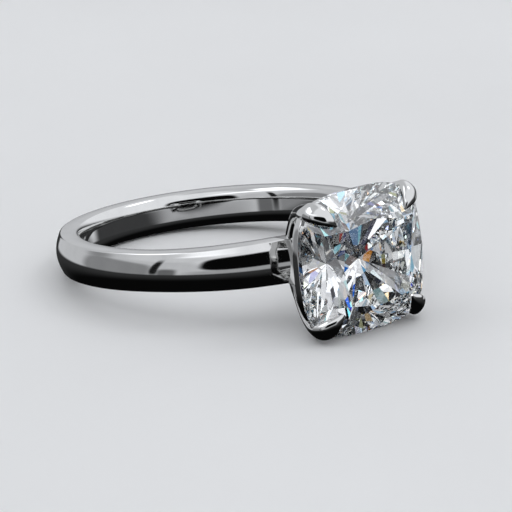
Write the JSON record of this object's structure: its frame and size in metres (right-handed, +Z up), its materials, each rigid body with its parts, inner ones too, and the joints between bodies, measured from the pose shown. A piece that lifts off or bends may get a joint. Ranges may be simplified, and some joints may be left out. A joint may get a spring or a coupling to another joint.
{
  "type": "engagement ring",
  "caption": "Solitaire finger ring: a polished comfort-fit band that widens into a claw basket holding a faceted cushion-cut stone.",
  "frame": {"origin": "on the ground under the middle of the ring's bounding box, with the ring lying on its side as in the picture", "axes": "+Z up; -Y is the side the stone faces; the finger axis leans about 7.6 degrees from +Z towards +Y, because the lower side of the stone and the back of the band rest on the ground together; X runs across the head and is the mirror direction"},
  "size_m": [0.0196, 0.0242, 0.0081],
  "materials": {
    "platinum": "mirror-polished platinum",
    "diamond": "clear, faceted and polished"
  },
  "bodies": {
    "root": {"shank": "platinum", "base_collar": "platinum", "girdle_rail": "platinum", "claw_upper_left": "platinum", "claw_upper_right": "platinum", "claw_lower_left": "platinum", "claw_lower_right": "platinum", "stone": "diamond"}
  },
  "joints": []
}
